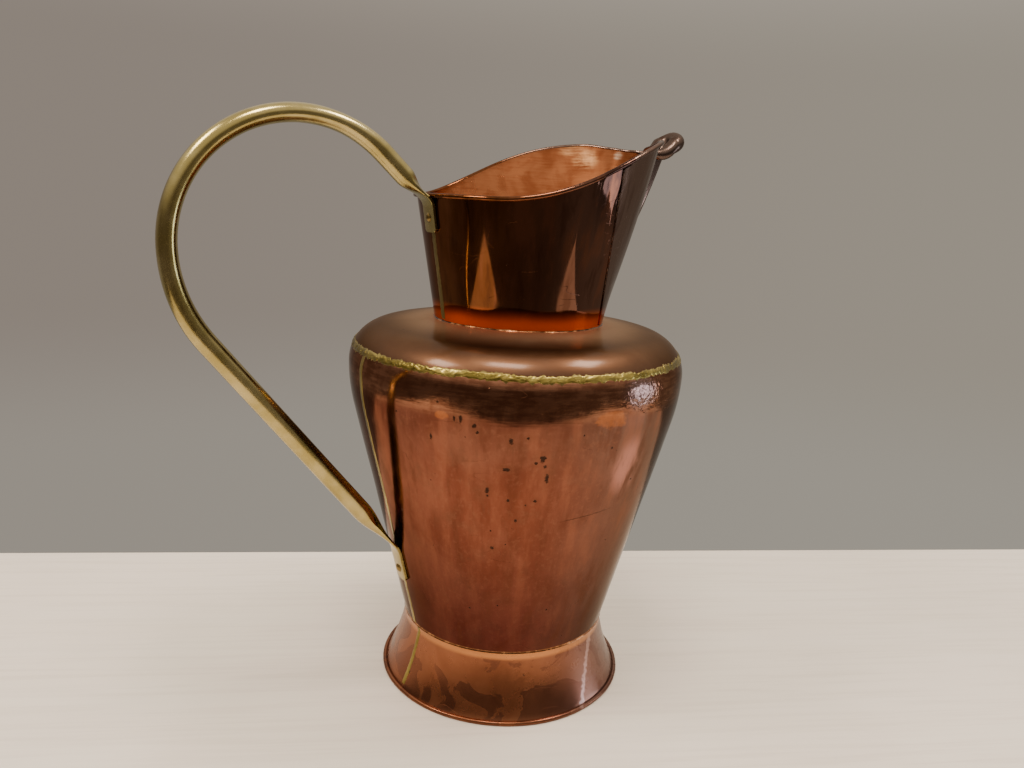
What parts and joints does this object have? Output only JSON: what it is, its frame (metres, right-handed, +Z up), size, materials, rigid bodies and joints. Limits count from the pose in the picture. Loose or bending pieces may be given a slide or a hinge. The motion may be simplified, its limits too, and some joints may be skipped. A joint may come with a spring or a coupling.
{
  "type": "hot water can",
  "caption": "Open-topped copper can with a tapered body on a flared foot, rounded shoulder, wide neck drawn out to a narrow pouring spout, and a looped brass tube handle.",
  "frame": {"origin": "centre of the foot's resting ring, on the surface the can stands on", "axes": "+Z up along the axis of the body, +X toward the spout, -X toward the handle, +Y to the left of someone looking along +X"},
  "size_m": [0.4671, 0.294, 0.503],
  "materials": {
    "body_copper": "polished copper, pitted and scratched",
    "shoulder_copper": "polished copper, finely planished",
    "neck_copper": "mirror-polished copper",
    "spout_copper": "darker polished copper",
    "foot_copper": "polished copper with blotches",
    "floor_copper": "dull tinned copper",
    "seam_brass": "uneven run brass",
    "joint_solder": "filed solder, coppered over",
    "handle_brass": "brushed brass with pits",
    "rivet_brass": "dull brass",
    "edge_wire": "bare iron wire"
  },
  "bodies": {
    "root": {"body_wall": "body_copper", "shoulder_dome": "shoulder_copper", "bottom_disc": "floor_copper", "foot_skirt": "foot_copper", "foot_wire": "edge_wire", "neck_wall": "neck_copper", "spout_panel": "spout_copper", "rim_wire": "edge_wire", "shoulder_seam_braze": "seam_brass", "body_seam_braze": "seam_brass", "neck_seam_braze": "seam_brass", "foot_seam_braze": "seam_brass", "neck_base_solder": "joint_solder", "foot_joint_solder": "joint_solder", "bottom_solder": "joint_solder", "spout_solder_left": "joint_solder", "spout_solder_right": "joint_solder", "handle_tube": "handle_brass", "upper_rivet": "rivet_brass", "lower_rivet": "rivet_brass"}
  },
  "joints": []
}
